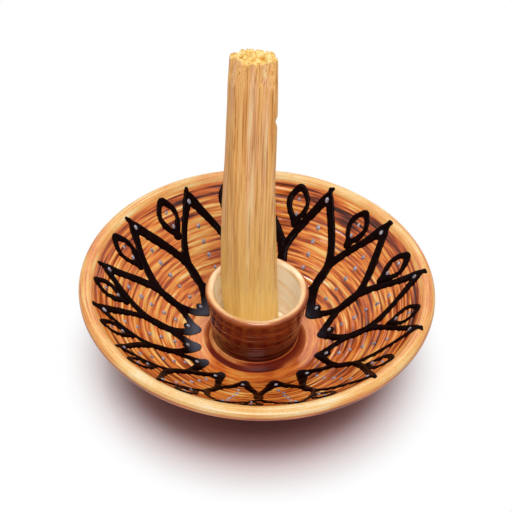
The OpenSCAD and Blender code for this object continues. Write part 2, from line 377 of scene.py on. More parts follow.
body = add_node(
    tree, "ShaderNodeMix",
    {"Factor": bare_mark, 6: amber.outputs["Color"], 7: clay_tone.outputs["Color"]}, data_type="RGBA",
)
gloss = add_node(
    tree, "ShaderNodeMapRange",
    {"Value": bare_mark, "From Min": 0.0, "From Max": 1.0, "To Min": 0.16, "To Max": 0.85},
)
grit = add_node(
    tree, "ShaderNodeBump", {"Height": streaks.outputs["Fac"], "Strength": 0.25, "Distance": 0.1 * MM}
)
tree.links.new(body.outputs[2], shader.inputs["Base Color"])
tree.links.new(gloss.outputs[0], shader.inputs["Roughness"])
tree.links.new(grit.outputs[0], shader.inputs["Normal"])
shader.inputs["IOR"].default_value = 1.5
shader.inputs["Specular IOR Level"].default_value = 0.35

dish = make_piece(
    "thrown_dish", dish_points, turned_faces(len(r) - 2, dish_around), amber_glaze,
    depth=ring_marks(depth, dish_around),
    along=ring_marks(along[:, None], dish_around),
    bare=ring_marks(bare[:, None], dish_around),
)
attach(dish, "holder")
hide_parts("dish")

# Holder cup: a small earthenware cup, thrown apart and set in the middle of the well with slip.
# Outside, its red-brown glaze darkens towards the foot, and it breaks to beige on the lip. Inside
# it is glazed cream, painted palest just below the rim, a painted highlight, and darker towards its floor,
# painted shade.
cup_top_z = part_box("holder_cup")[1].z / MM
cup_floor_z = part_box("palo_santo_stick")[0].z / MM
cup_rim_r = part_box("holder_cup")[1].x / MM
lute_w = 3.2
cup_base_r = lute_r - lute_w
cup_wall = 2.1
cup_flare = 2.6
cup_lip_h = 1.3
cup_neck = 4.0
cup_spread = 0.22
cup_around = 192
cup_rings = (12, 50, 22, 10, 60, 10)
cup_waves = ((3.4, 1.0), (2.2, 0.6), (5.6, 0.7))
cup_h = cup_top_z - floor_z
cup_lean = cup_flare / (cup_top_z - cup_floor_z)
cup_floor_r = cup_base_r - cup_wall
cup_mouth_r = cup_floor_r + cup_lean * (cup_top_z - cup_lip_h - cup_floor_z)
cup_lip_half = (cup_rim_r - cup_mouth_r) / 2
cup_lip_z = cup_top_z - cup_lip_h
neck_place = [cup_base_r + cup_lean * (cup_h - cup_neck), cup_top_z - cup_neck]
cup_stretches = [
    np.array([[0.0, cup_floor_z], [cup_floor_r, cup_floor_z]]),
    np.array([[cup_floor_r, cup_floor_z], [cup_mouth_r, cup_lip_z]]),
    arc((cup_mouth_r + cup_lip_half, cup_lip_z), (cup_lip_half, cup_lip_h), 180, 0, 24),
    np.array([[cup_rim_r, cup_lip_z], neck_place]),
    np.array([neck_place, [cup_base_r, floor_z]]),
    np.array([[cup_base_r, floor_z], [0.0, floor_z]]),
]
r, z, along, ends = thrown_outline(cup_stretches, cup_rings, cup_spread)
bore_end, lip_end, neck_end, foot_end = ends[1:5]
turn = np.linspace(0.0, 2 * np.pi, cup_around, endpoint=False)
lines = finger_lines(along[:, None], turn, cup_waves)
line_height = np.interp(
    along,
    [bore_end - 6, bore_end - 2, lip_end, neck_end, neck_end + 2, foot_end - 2, foot_end],
    [0.06, 0.0, 0.0, 0.04, 0.12, 0.1, 0.0],
)
# Inside, the cream is painted palest 1.5 mm below the rim, a painted highlight, and darker towards the
# floor of the cup, painted shade
depth = np.interp(
    along,
    [
        0, bore_end - 6, bore_end - 1.5, bore_end, lip_end - 2.1, lip_end - 1.1, lip_end - 0.2,
        neck_end, neck_end + 5, foot_end - 5, foot_end,
    ],
    [0.08, -0.02, -0.1, 0.04, 0.2, 0.42, 0.53, 0.53, 0.63, 0.92, 1.05],
)
depth = depth[:, None] - lines * np.interp(line_height, [0.0, 0.12], [0.02, 0.09])[:, None]
cup_points = turned(r, z, lines * line_height[:, None], cup_around)

# Red-brown glaze: the amber glaze laid on thick, glassy, in soft level bands about 2 mm apart.
band_pitch = 2.0
band_stretch = 1.4
red_glaze, tree, shader = new_material("red_brown_glaze_on_earthenware")
depth_mark = add_node(tree, "ShaderNodeAttribute", attribute_name="depth").outputs["Fac"]
along_mark = add_node(tree, "ShaderNodeAttribute", attribute_name="along").outputs["Fac"]
bands = drawn_round(tree, along_mark, band_pitch, band_stretch, 3.0, 0.55)
band_share = add_node(
    tree, "ShaderNodeMapRange",
    {"Value": bands.outputs["Fac"], "From Min": 0.3, "From Max": 0.7, "To Min": -0.1, "To Max": 0.1},
)
pooled = add_node(tree, "ShaderNodeMath", {0: depth_mark, 1: band_share.outputs[0]}, operation="ADD")
red_brown = add_node(
    tree, "ShaderNodeValToRGB", {"Fac": pooled.outputs[0]},
    stops=[
        (0.0, "#FFF5E0"), (1.0, "#3A0A08"), (0.12, "#F2CF9C"), (0.26, "#E0A667"), (0.4, "#B4622F"),
        (0.55, "#8A3C1E"), (0.72, "#661C0C"),
    ],
)
grit = add_node(
    tree, "ShaderNodeBump", {"Height": bands.outputs["Fac"], "Strength": 0.2, "Distance": 0.1 * MM}
)
tree.links.new(red_brown.outputs["Color"], shader.inputs["Base Color"])
tree.links.new(grit.outputs[0], shader.inputs["Normal"])
shader.inputs["Roughness"].default_value = 0.15
shader.inputs["IOR"].default_value = 1.5

cup = make_piece(
    "thrown_cup", cup_points, turned_faces(len(r) - 2, cup_around), red_glaze,
    depth=ring_marks(depth, cup_around),
    along=ring_marks(along[:, None], cup_around),
)
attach(cup, "holder")
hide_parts("holder_cup")

# Luting ring: the slip that joins the cup to the dish, wiped to a hollow with a finger. Glaze pools
# in it, in a dark red crescent at the front, and it is golden high on the ring at the front left. Just
# below the cup the ring is painted pale all round, a painted highlight along the foot of the cup.
lute_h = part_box("luting_ring")[1].z / MM - floor_z
lute_hollow = 0.4
lute_sunk = 0.25
lute_around = 192
crescent_azimuth = 250
crescent_depth = 0.8
gold_azimuth = 212
gold_depth = 0.33
lute_face = hollow((lute_r, floor_z), (cup_base_r + cup_lean * lute_h, floor_z + lute_h), lute_hollow, 22)
lute_back = np.array([
    [cup_base_r - lute_sunk, floor_z + lute_h - lute_sunk],
    [cup_base_r - lute_sunk, floor_z - lute_sunk],
    [lute_r - lute_sunk, floor_z - lute_sunk],
])
lute_line = np.concatenate([lute_face, lute_back])[::-1]
turn = np.linspace(0.0, 2 * np.pi, lute_around, endpoint=False)
lute_points = np.stack([
    lute_line[:, :1] * np.cos(turn), lute_line[:, :1] * np.sin(turn), lute_line[:, 1:] + 0 * turn,
], axis=-1)
# The last ring of points is followed by the first, so the numbers of the points wrap
lute_faces = ring_quads(len(lute_line) + 1, lute_around) % (len(lute_line) * lute_around)
# Share of the way up the face of the ring, and how full of glaze each side of it is. The crescent fades
# from 41 to 60 degrees off its middle, and the gold from 32 to 53.
climb = np.concatenate([np.linspace(0.0, 1.0, len(lute_face)), np.ones(len(lute_back))])[::-1]
# Round the whole ring the glaze deepens up the face, with a pale dip at 0.95 of the way up: a painted
# highlight along the foot of the cup
pool_and_highlight_round = np.interp(climb, [0.0, 0.2, 0.5, 0.85, 0.95, 1.0], [0.38, 0.42, 0.6, 0.74, 0.36, 0.8])
crescent = np.interp(climb, [0.0, 0.1, 0.5, 0.62], [0.0, 1.0, 1.0, 0.0])
gold = np.interp(climb, [0.5, 0.64, 0.96, 1.0], [0.0, 1.0, 1.0, 0.0])
near_front = np.clip(4 * np.cos(turn - math.radians(crescent_azimuth)) - 2, 0, 1)
near_left = np.clip(4 * np.cos(turn - math.radians(gold_azimuth)) - 2.4, 0, 1)
pool = pool_and_highlight_round[:, None] + (crescent_depth - pool_and_highlight_round)[:, None] * crescent[:, None] * near_front
pool = pool + (gold_depth - pool) * gold[:, None] * near_left
# Pooled red-brown glaze: the same, laid thicker and softer of skin
pooled_glaze = red_glaze.copy()
pooled_glaze.name = "pooled_red_brown_glaze"
pooled_skin = pooled_glaze.node_tree.nodes["Principled BSDF"]
pooled_skin.inputs["Roughness"].default_value = 0.32
pooled_skin.inputs["Specular IOR Level"].default_value = 0.06
lute = make_piece(
    "luting_ring_glazed", lute_points.reshape(-1, 3), lute_faces.tolist(), pooled_glaze,
    depth=pool.ravel(), along=np.broadcast_to(climb[:, None] * lute_h, pool.shape).ravel(),
)
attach(lute, "holder")
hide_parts("luting_ring")

# Petal lines: black slip trailed from a nozzle on the leather-hard wall, two strokes to a petal, from
# the edge of the well to the lip. The strokes stand proud as round beads, run into their neighbours
# and end in blobs.
petals = 14
petal_step = 360 / petals
petal_belly = 0.36
petal_point = 1.25
# At the front the petals are widest further out, and their strokes thinner, but fuller near the inner tip
front_belly = 0.1
front_thin = 0.14
front_swell = 0.4
swell_at = 0.1
swell_spread = 0.13
front_fade = 0.15
fade_from = 0.5
fade_to = 0.7
tip_gap = 1.3
tip_vary = 0.8
vary_turn = 137
right_run = 2.8
run_turn = 10
run_from = 0.67
tail_start = 2.8
tail_w = 1.15
tail_thin = 0.75
petal_in_r = well_r
petal_half = 1.05 * petal_step / 2
inner_shift = 1.5
inner_right = 1.2
line_half = 1.2
line_rise = 0.75
relief_sunk = 0.3
pattern_turn = 10.0
drift_once = 7.2
once_turn = -20
drift_twice = 2.0
twice_turn = 146
dab_margin = 6
flow = 0.16
relief_around = 1008
relief_step = 0.28
relief_in_r = 17.2
relief_past_lip = 3.6
hand = np.random.default_rng(14)


def hand_azimuth(a):
    """Azimuth in degrees that the hand gave to what an even pattern would put at a.

    The hand drifts in two slow waves, one that goes once round the dish and one that goes twice.
    """
    once = drift_once * np.sin(np.radians(a + once_turn))
    twice = drift_twice * np.sin(np.radians(2 * a + twice_turn))
    return a + pattern_turn + once + twice


def on_plan(radius, a):
    """Plan position of a point of the pattern at that radius and even azimuth.

    The ring of inner tips stands a little to the front and the right, and the shift fades to none at
    the lip.
    """
    az = np.radians(hand_azimuth(a))
    fade = (lip_in_r - radius) / (lip_in_r - petal_in_r)
    return np.stack([
        radius * np.cos(az) + inner_right * fade, radius * np.sin(az) - inner_shift * fade,
    ], axis=-1)


def petal_tip(k):
    """Radius of the outer tip of petal k: just inside the lip, shorter on some as the hand varied."""
    return lip_in_r - tip_gap - tip_vary * (1 + math.sin(math.radians(k * vary_turn))) / 2


def petal_run(k):
    """How far the tip of petal k is drawn out on to the lip: most on the right, none on the left."""
    return right_run * max(0, math.cos(math.radians(hand_azimuth(k * petal_step) + run_turn)))


def loop_side(inner, outer, a, half, belly, point, side, count, past=0.0, run=0.0):
    """Middle line of one side of a pointed loop, as plan points and shares of its length.

    Its half width is a sine bow whose top is moved to the belly, raised to a power that sharpens the
    tips. Past the outer tip the two sides cross. The last third is drawn out by run, as a square of
    the share of it that is passed.
    """
    t = np.linspace(0.0, 1.0 + past, count)
    bow = np.sin(np.pi * t ** (math.log(0.5) / math.log(belly)))
    spread = side * half * np.sign(bow) * np.abs(bow) ** point
    drawn_out = run * np.clip((t - run_from) / (1 - run_from), 0, 1) ** 2
    return on_plan(inner + t * (outer - inner) + drawn_out, a + spread), t


def wall_height(radius):
    """Height of the glazed wall at a radius: flat well, then the hollow line, then the round of the lip."""
    t = np.clip((radius - well_r) / (lip_in_r - well_r), 0, 1)
    wall = floor_z + t * (lip_in_z - floor_z) - 4 * wall_bow * t * (1 - t)
    over = np.clip((radius - lip_mid_r) / (lip_t / 2), -1, 1)
    return np.where(radius < lip_in_r, wall, lip_side_z + lip_h * np.sqrt(1 - over ** 2))


def outline_distance(strokes, grid, azimuth):
    """Distance from each grid point to the edge of the strokes, negative inside them.

    A stroke is a row of round dabs, and its distance is the least of the distances to its dabs. Only points
    within a margin in degrees of a stroke count it. Strokes flow together: the distances are joined by the
    logarithm of a sum of exponentials.
    """
    total = np.zeros(grid.shape[:2])
    for middle, half in strokes:
        az = np.unwrap(np.arctan2(middle[:, 1], middle[:, 0]))
        off = np.degrees(np.angle(np.exp(1j * (np.radians(azimuth) - (az.min() + az.max()) / 2))))
        near = np.abs(off) < np.degrees(np.ptp(az)) / 2 + dab_margin
        gap = np.hypot(*np.moveaxis(grid[:, near, None, :] - middle, -1, 0)) - half
        total[:, near] += np.exp(-gap.min(axis=-1) / flow)
    return -flow * np.log(np.maximum(total, 1e-30))


def relief_shell(distance, radius, azimuth, rise, round_half):
    """Closed shell of trailed slip over the part of a polar grid where the distance is negative.

    Cells whose mean distance is negative are kept, and points on their edge slide along the slope of the
    distance to where it is zero. The top is a quarter ellipse: it rises steeply from the edge and is
    level at round_half from it, and its height pulses over 4 mm as the slip left the nozzle. A base
    sheet below the glaze and walls along the edge close the shell.
    """
    rows, around = distance.shape
    rr, aa = np.meshgrid(radius, np.radians(azimuth), indexing="ij")
    ahead = np.roll(distance, -1, axis=1)
    behind = np.roll(distance, 1, axis=1)
    slope_r = np.gradient(distance, radius, axis=0)
    slope_a = (ahead - behind) / (2 * 2 * np.pi / around) / rr
    cells = ring_quads(rows, around)
    cells = cells[distance.ravel()[cells].mean(axis=1) < 0]
    tails = cells.ravel()
    heads = np.roll(cells, -1, axis=1).ravel()
    count = rows * around
    edge = ~np.isin(tails * count + heads, heads * count + tails)
    rim = np.zeros(count, dtype=bool)
    rim[tails[edge]] = True
    steep = np.maximum(slope_r ** 2 + slope_a ** 2, 0.2).ravel()
    slide = np.where(rim, -distance.ravel() / steep, 0.0)
    most = 1.5 * relief_step
    slide = np.clip(slide, -most, most)
    r_new = rr.ravel() + slide * slope_r.ravel()
    a_new = aa.ravel() + slide * slope_a.ravel() / rr.ravel()
    inside = np.clip(np.where(rim, 0.0, -distance.ravel()) / round_half, 0, 1)
    ground = wall_height(r_new)
    plan = np.stack([r_new * np.cos(a_new), r_new * np.sin(a_new)], axis=-1)
    x, y = plan.T
    pulse = 0.88 + 0.06 * np.sin(1.3 * x + 0.7 * y) + 0.06 * np.sin(0.5 * x - 1.5 * y + 2)
    height = rise * pulse * (0.3 + 0.7 * np.sqrt(1 - (1 - inside) ** 2))
    used, index = np.unique(cells, return_inverse=True)
    cells = index.reshape(-1, 4)
    tails = cells.ravel()[edge]
    heads = np.roll(cells, -1, axis=1).ravel()[edge]
    n = len(used)
    top = np.column_stack([plan[used], (ground + height)[used]])
    base = np.column_stack([plan[used], ground[used] - relief_sunk])
    walls = np.stack([tails + n, heads + n, heads, tails], axis=-1)
    faces = np.concatenate([cells, cells[:, ::-1] + n, walls])
    return np.concatenate([top, base]), faces.tolist()


def hand_width(t, base, swell_in, swell_out):
    """Half width of a stroke along its share t: the base, swaying in two waves as the hand pressed.

    A bell curve swells it near either tip, and the end thins to about half.
    """
    start = hand.uniform(0, 2 * np.pi, 2)
    sway = 1 + 0.1 * np.sin(7 * t + start[0]) + 0.06 * np.sin(17 * t + start[1])
    blobs = swell_in * np.exp(-(t / 0.09) ** 2) + swell_out * np.exp(-((0.93 - t) / 0.06) ** 2)
    return base * (sway + blobs) * (1 - 0.45 * np.clip((t - 0.95) / 0.06, 0, 1))


petal_strokes = []
for k in range(petals):
    front = max(0, -math.sin(math.radians(hand_azimuth(k * petal_step))))
    belly = petal_belly + front_belly * front
    for side in (1, -1):
        middle, t = loop_side(
            petal_in_r, petal_tip(k), k * petal_step, petal_half, belly, petal_point, side, 150,
            hand.uniform(0.005, 0.04), petal_run(k),
        )
        base = line_half * hand.uniform(0.94, 1.16) * (1 - front_thin * front)
        swell = front_swell * np.exp(-((t - swell_at) / swell_spread) ** 2)
        swell = swell - front_fade * np.clip((t - fade_from) / (fade_to - fade_from), 0, 1)
        petal_strokes.append((middle, (1 + front * swell) * hand_width(t, base, 0.25, 0.15)))
    # A blob where the strokes were begun fills the corner between them and runs out towards the cup
    tail = np.linspace(0.0, 1.0, 14)
    tail_end = hand.uniform(0.3, 1.0)
    petal_strokes.append((
        on_plan(petal_in_r + tail_start - (tail_start + tail_end) * tail, k * petal_step + 0 * tail),
        line_half * (tail_w - tail_thin * tail),
    ))
relief_r = np.arange(relief_in_r, lip_in_r + relief_past_lip, relief_step)
relief_az = np.linspace(0, 360, relief_around, endpoint=False)
polar_r, polar_a = np.meshgrid(relief_r, np.radians(relief_az), indexing="ij")
relief_plan = np.stack([polar_r * np.cos(polar_a), polar_r * np.sin(polar_a)], axis=-1)
petal_distance = outline_distance(petal_strokes, relief_plan, relief_az)
petal_points, petal_faces = relief_shell(petal_distance, relief_r, relief_az, line_rise, line_half)

# Black slip under clear glaze: a manganese black. At the inner tips it is thin, and it is painted grey
# there, mostly on the left, in part as a painted sheen of the light behind. Its smooth skin reflects
# little: a glassier one mirrors the white surround and turns all grey.
mottle_size = 3
peel_size = 0.9
thin_and_sheen_end = 19.5
thin_and_sheen_start = 24
left_full = -20
left_from = -10
black_slip, tree, shader = new_material("black_slip_under_glaze")
place = add_node(tree, "ShaderNodeTexCoord").outputs["Object"]
mottle = add_node(
    tree, "ShaderNodeTexNoise", {"Vector": place, "Scale": 1 / (mottle_size * MM), "Detail": 4.0}
)
black = add_node(
    tree, "ShaderNodeValToRGB", {"Fac": mottle.outputs["Fac"]},
    stops=[(0.3, "#0B0202"), (0.8, "#1C0907"), (0.55, "#120403")],
)
skin = add_node(
    tree, "ShaderNodeMapRange",
    {"Value": mottle.outputs["Fac"], "From Min": 0.3, "From Max": 0.7, "To Min": 0.05, "To Max": 0.12},
)
orange_peel = add_node(
    tree, "ShaderNodeTexNoise", {"Vector": place, "Scale": 1 / (peel_size * MM), "Detail": 2.0}
)
peel = add_node(
    tree, "ShaderNodeBump", {"Height": orange_peel.outputs["Fac"], "Strength": 0.5, "Distance": 0.25 * MM}
)
flat = add_node(tree, "ShaderNodeVectorMath", {0: place, 1: (1, 1, 0)}, operation="MULTIPLY")
reach = add_node(tree, "ShaderNodeVectorMath", {0: flat.outputs[0]}, operation="LENGTH")
# In part painted sheen: the slip is painted grey towards the inner tips, from 24 mm in to 19.5 mm
thin_and_sheen = add_node(
    tree, "ShaderNodeMapRange",
    {
        "Value": reach.outputs["Value"], "From Min": thin_and_sheen_end * MM, "From Max": thin_and_sheen_start * MM,
        "To Min": 1.0, "To Max": 0.0,
    },
)
sides = add_node(tree, "ShaderNodeSeparateXYZ", {0: place})
left_share = add_node(
    tree, "ShaderNodeMapRange",
    {
        "Value": sides.outputs["X"], "From Min": left_full * MM, "From Max": left_from * MM,
        "To Min": 1.0, "To Max": 0.25,
    },
)
thin_and_sheen_left = add_node(
    tree, "ShaderNodeMath", {0: thin_and_sheen.outputs[0], 1: left_share.outputs[0]}, operation="MULTIPLY"
)
slip = add_node(
    tree, "ShaderNodeMix",
    {"Factor": thin_and_sheen_left.outputs[0], 6: black.outputs["Color"], 7: colour("#50505A")}, data_type="RGBA",
)
tree.links.new(slip.outputs[2], shader.inputs["Base Color"])
tree.links.new(skin.outputs[0], shader.inputs["Roughness"])
tree.links.new(peel.outputs[0], shader.inputs["Normal"])
shader.inputs["IOR"].default_value = 1.5
shader.inputs["Specular IOR Level"].default_value = 0.02

petal_lines = make_piece("trailed_petal_lines", petal_points, petal_faces, black_slip)
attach(petal_lines, "holder")
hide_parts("petal_lines")

# Leaf loops: small pointed loops of the same black slip, one between the outer tips of each two
# petals. Each is drawn in two strokes that stop at a petal line they meet.
leaf_belly = 0.55
leaf_point = 0.9
leaf_lean = -0.1
leaf_l = 9.0
leaf_half = 0.9
leaf_gap = 1.0
leaf_rise = 0.9 * line_rise
leaf_out_r = lip_in_r - leaf_gap
leaf_in_r = leaf_out_r - leaf_l
leaf_spread = 0.27 * petal_step / 2
leaf_strokes = []
for k in range(petals):
    for side in (1, -1):
        middle, t = loop_side(
            leaf_in_r, leaf_out_r, (k + 0.5 + leaf_lean) * petal_step, leaf_spread,
            leaf_belly, leaf_point, side, 60,
        )
        base = leaf_half * hand.uniform(0.9, 1.12)
        leaf_strokes.append((middle, hand_width(t, base, 0.3, 0.1)))
leaf_distance = outline_distance(leaf_strokes, relief_plan, relief_az)
leaf_distance = np.maximum(leaf_distance, -petal_distance)
leaf_points, leaf_faces = relief_shell(leaf_distance, relief_r, relief_az, leaf_rise, leaf_half)
leaf_loops = make_piece("trailed_leaf_loops", leaf_points, leaf_faces, black_slip)
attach(leaf_loops, "holder")
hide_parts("leaf_loops")

# Petal dots: drops of pale slip, a row down the middle of each petal, each a small glazed dome. The
# first and the last of a row are set on the black slip, where the two strokes of the petal meet.
petal_dots_n = 6
petal_dot_r = 0.75
dot_rise = 0.6
dot_sides = 12
row_start = 7.0
row_end = 8.0
last_dot = 2.0
last_run = 0.6
first_dot = 2.6
first_dot_r = 0.65
dot_stray = 0.22
# How much higher a dot sits that is laid over a black line
over_line = 0.5


def dot_domes(middles, radii, rises, seat):
    """Closed domes on the wall: a profile of four rings and a top point carried round each middle.

    The height of a point is that of the wall below it, plus the seat, which is the slip that the dome is
    set on, plus its share of the rise, so that each dome sits on the slope. The first ring is below the
    surface and is closed by one flat face.
    """
    ring_r = np.array([1.0, 1.0, 0.86, 0.5])
    ring_h = np.array([-0.5, 0.12, 0.62, 0.93])
    a = np.linspace(0, 2 * np.pi, dot_sides, endpoint=False)
    circle = np.stack([np.cos(a), np.sin(a)], axis=-1)
    plan = middles[:, None, None] + radii[:, None, None, None] * ring_r[:, None, None] * circle
    ground = wall_height(np.hypot(plan[..., 0], plan[..., 1])) + seat[:, None, None]
    rings = np.concatenate([plan, (ground + rises[:, None, None] * ring_h[:, None])[..., None]], axis=-1)
    tip_z = wall_height(np.hypot(*middles.T)) + seat + rises
    tips = np.column_stack([middles, tip_z])
    block = np.concatenate([rings.reshape(len(middles), -1, 3), tips[:, None]], axis=1)
    # These rings rise from the first, so each quad is turned over to face outwards
    quads = ring_quads(len(ring_r), dot_sides)[:, [0, 3, 2, 1]]
    j = np.arange(dot_sides)
    last = (len(ring_r) - 1) * dot_sides
    tip = np.full(dot_sides, len(ring_r) * dot_sides)
    caps = np.stack([last + j, last + (j + 1) % dot_sides, tip], axis=-1)
    faces = []
    for start in np.arange(len(middles)) * block.shape[1]:
        faces += (quads + start).tolist() + (caps + start).tolist() + [(j[::-1] + start).tolist()]
    return block.reshape(-1, 3), faces


dot_r = np.concatenate([
    np.append(
        np.linspace(petal_in_r + row_start, petal_tip(k) - row_end, petal_dots_n - 1),
        petal_tip(k) - last_dot + last_run * petal_run(k),
    )
    for k in range(petals)
])
dot_seat = np.tile(np.append(np.zeros(petal_dots_n - 1), over_line), petals)
dot_az = np.repeat(np.arange(petals) * petal_step, petal_dots_n)
dot_middles = on_plan(dot_r, dot_az) + hand.normal(0, dot_stray, (len(dot_r), 2))
dot_size = petal_dot_r * hand.uniform(0.75, 1.0, len(dot_r))
dot_height = dot_rise * hand.uniform(0.8, 1.1, len(dot_r))
first_middles = on_plan(np.full(petals, petal_in_r + first_dot), np.arange(petals) * petal_step)
dot_points, dot_faces = dot_domes(
    np.concatenate([dot_middles, first_middles]),
    np.append(dot_size, np.full(petals, first_dot_r)),
    np.append(dot_height, np.full(petals, dot_rise)),
    np.append(dot_seat, np.full(petals, over_line)),
)

# Pale slip under clear glaze: a lilac grey, mottled about every millimetre, with a glassy skin.
speck_size = 1.1
pale_slip, tree, shader = new_material("pale_slip_under_glaze")
place = add_node(tree, "ShaderNodeTexCoord").outputs["Object"]
specks = add_node(
    tree, "ShaderNodeTexNoise", {"Vector": place, "Scale": 1 / (speck_size * MM), "Detail": 2.0}
)
pale = add_node(
    tree, "ShaderNodeValToRGB", {"Fac": specks.outputs["Fac"]}, stops=[(0.3, "#665C62"), (0.7, "#B8B1BE")]
)
tree.links.new(pale.outputs["Color"], shader.inputs["Base Color"])
shader.inputs["Roughness"].default_value = 0.08
shader.inputs["IOR"].default_value = 1.5

petal_dots = make_piece("pale_petal_dots", dot_points, dot_faces, pale_slip)
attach(petal_dots, "holder")
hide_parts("petal_dots")

# Leaf dots: two smaller drops of the same pale slip in each leaf, the inner one on the black slip where
# the two strokes of the leaf part.
leaf_dot_r = 0.55
leaf_dot_in = 2.2
leaf_dot_out = 5.9
leaf_dot_stray = 0.12
leaf_az = np.repeat((np.arange(petals) + 0.5 + leaf_lean) * petal_step, 2)
leaf_dot_place = leaf_in_r + np.tile([leaf_dot_in, leaf_dot_out], petals)
leaf_dot_seat = np.tile([over_line, 0.0], petals)
leaf_dot_middles = on_plan(leaf_dot_place, leaf_az) + hand.normal(0, leaf_dot_stray, (len(leaf_az), 2))
dot_points, dot_faces = dot_domes(
    leaf_dot_middles, leaf_dot_r * hand.uniform(0.85, 1.05, len(leaf_az)),
    dot_rise * hand.uniform(0.75, 1.0, len(leaf_az)), leaf_dot_seat,
)
leaf_dots = make_piece("pale_leaf_dots", dot_points, dot_faces, pale_slip)
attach(leaf_dots, "holder")
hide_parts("leaf_dots")

# Palo santo stick: a billet split from heartwood along the grain and sawn flat at the foot. It stands
# loose in the cup. The flanks keep the split fibres, and the top is broken off rough.
stick_top_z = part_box("palo_santo_stick")[1].z / MM
stick_foot = (18.8, 9.4)
stick_top = (14.4, 7.4)
stick_shift = 1.5
stick_bow = 2.5
bow_end = 0.8
stick_around = 168
stick_rings = 190
cap_rows = 16
arris_round = 3
fibre_depth = 0.2
fibre_loss = 0.6
fibre_proud = 0.1
split_from = 0.92
break_depth = 1.6
nick_z = 99.4
nick_depth = 0.9
nick_tall = 1.1
nick_wide = 0.05
right_u = 0.34


def stick_section(u, s):
    """Plan of the stick: a six-sided split section round u and up s, as shares of its half width and depth.

    The front arris wanders left towards the top, and just below the break the front corners are split
    away, so that it comes back to the middle. The left flank is fuller above the cup, and the right one
    below the break. Half width and depth change evenly from foot to top, and the middle bows left along
    a quarter of a sine.
    """
    split = np.clip((s - split_from) / (1 - split_from), 0, 1) ** 1.3
    arris = -0.33 - 0.42 * s + 0.55 * split
    even = 0 * s
    left = np.interp(s, [0, 0.2, 0.55, 0.85], [-1, -1.12, -1.06, -1])
    right = np.interp(s, [0.6, 0.75, 0.9, 1], [1, 1.05, 1.05, 1])
    corner_x = np.array([arris, 0.9 + even, right, 0.82 + even, -0.45 + even, left, arris])
    corner_y = np.array([
        even - 0.98, 0.45 * split - 0.92, even - 0.1, even + 0.8, even + 1, even + 0.25, even - 0.98,
    ])
    corner_u = np.array([0, 0.24, right_u, 0.48, 0.72, 0.86, 1.0])
    share = np.clip((u[:, None] - corner_u[:-1]) / np.diff(corner_u), 0, 1)
    x = corner_x[0][:, None] + np.einsum("uk,ks->su", share, np.diff(corner_x, axis=0))
    y = corner_y[0][:, None] + np.einsum("uk,ks->su", share, np.diff(corner_y, axis=0))
    half_w = (stick_foot[0] + (stick_top[0] - stick_foot[0]) * s) / 2
    half_d = (stick_foot[1] + (stick_top[1] - stick_foot[1]) * s) / 2
    middle = -stick_shift - stick_bow * np.sin(np.pi / 2 * np.minimum(1, s / bow_end))
    return middle[:, None] + x * half_w[:, None], y * half_d[:, None]


def smoothed(values, reach, axis):
    """Values averaged with their neighbours round a closed axis, reach steps either way."""
    return sum(np.roll(values, k, axis=axis) for k in range(-reach, reach + 1)) / (2 * reach + 1)


def broken_top(x, y):
    """Height lost at the broken top, from 0 to 1: a hump at the back, with splinters across the grain.

    It is a ridge that falls to the front and to both sides, plus three waves of unlike pitch and way.
    """
    slope = 0.3 - 0.05 * y + 0.03 * np.abs(x + 4)
    waves = 0.16 * np.sin(2.3 * x + 1.1 * y) + 0.13 * np.sin(4.1 * x - 2.7 * y + 1)
    waves = waves + 0.1 * np.sin(6.7 * x + 3.9 * y)
    return np.clip(slope + waves, 0, 1)


u = np.linspace(0, 1, stick_around, endpoint=False)
s = np.linspace(0, 1, stick_rings)
stick_x, stick_y = stick_section(u, s)
stick_x = smoothed(stick_x, arris_round, 1)
stick_y = smoothed(stick_y, arris_round, 1)
# Fibres: random heights round the stick at seven levels, blended up it, most of them torn out below the
# flank. The foot is sawn, so they fade in over the first thirtieth of the height.
grain = hand.normal(0, 1, (7, stick_around))
grain = smoothed(grain, 1, 1) + 1.5 * smoothed(grain, 4, 1)
knots = np.linspace(0, 1, len(grain))
weight = np.clip(1 - np.abs(s[:, None] - knots) * (len(grain) - 1), 0, 1)
fibres = fibre_depth * (weight @ grain - fibre_loss)
along_x = np.roll(stick_x, -1, axis=1) - np.roll(stick_x, 1, axis=1)
along_y = np.roll(stick_y, -1, axis=1) - np.roll(stick_y, 1, axis=1)
length = np.hypot(along_x, along_y)
edge_z = stick_top_z - cup_floor_z - break_depth * broken_top(stick_x[-1], stick_y[-1])
stick_z = cup_floor_z + s[:, None] * edge_z
right_edge = np.exp(-((u - right_u) / nick_wide) ** 2)
nick = nick_depth * np.exp(-((stick_z - nick_z) / nick_tall) ** 2) * right_edge
push = np.minimum(fibres, fibre_proud) * np.minimum(1, 30 * s)[:, None] - nick
stick_x = stick_x + push * along_y / length
stick_y = stick_y - push * along_x / length
inward = np.linspace(0, 1, cap_rows)[1:-1, None]
cap_x = stick_x[-1] + inward * (stick_x[-1].mean() - stick_x[-1])
cap_y = stick_y[-1] + inward * (stick_y[-1].mean() - stick_y[-1])
cap_z = stick_top_z - break_depth * broken_top(cap_x, cap_y)
flank = np.stack([stick_x, stick_y, stick_z], axis=-1).reshape(-1, 3)
cap = np.stack([cap_x, cap_y, cap_z], axis=-1).reshape(-1, 3)
poles = np.array([
    [stick_x[0].mean(), stick_y[0].mean(), cup_floor_z],
    [stick_x[-1].mean(), stick_y[-1].mean(), cap_z[-1].mean()],
])
stick_points = np.concatenate([flank, cap, poles])
stick_rows = stick_rings + cap_rows - 2
stick_faces = [face[::-1] for face in turned_faces(stick_rows, stick_around)]
# Share of broken wood: none on the flank and the foot, all of the top, and half along the edge between
broken = np.concatenate([np.zeros(len(flank)), np.ones(len(cap)), [0, 1]])
broken[(stick_rings - 1) * stick_around:stick_rings * stick_around] = 0.5

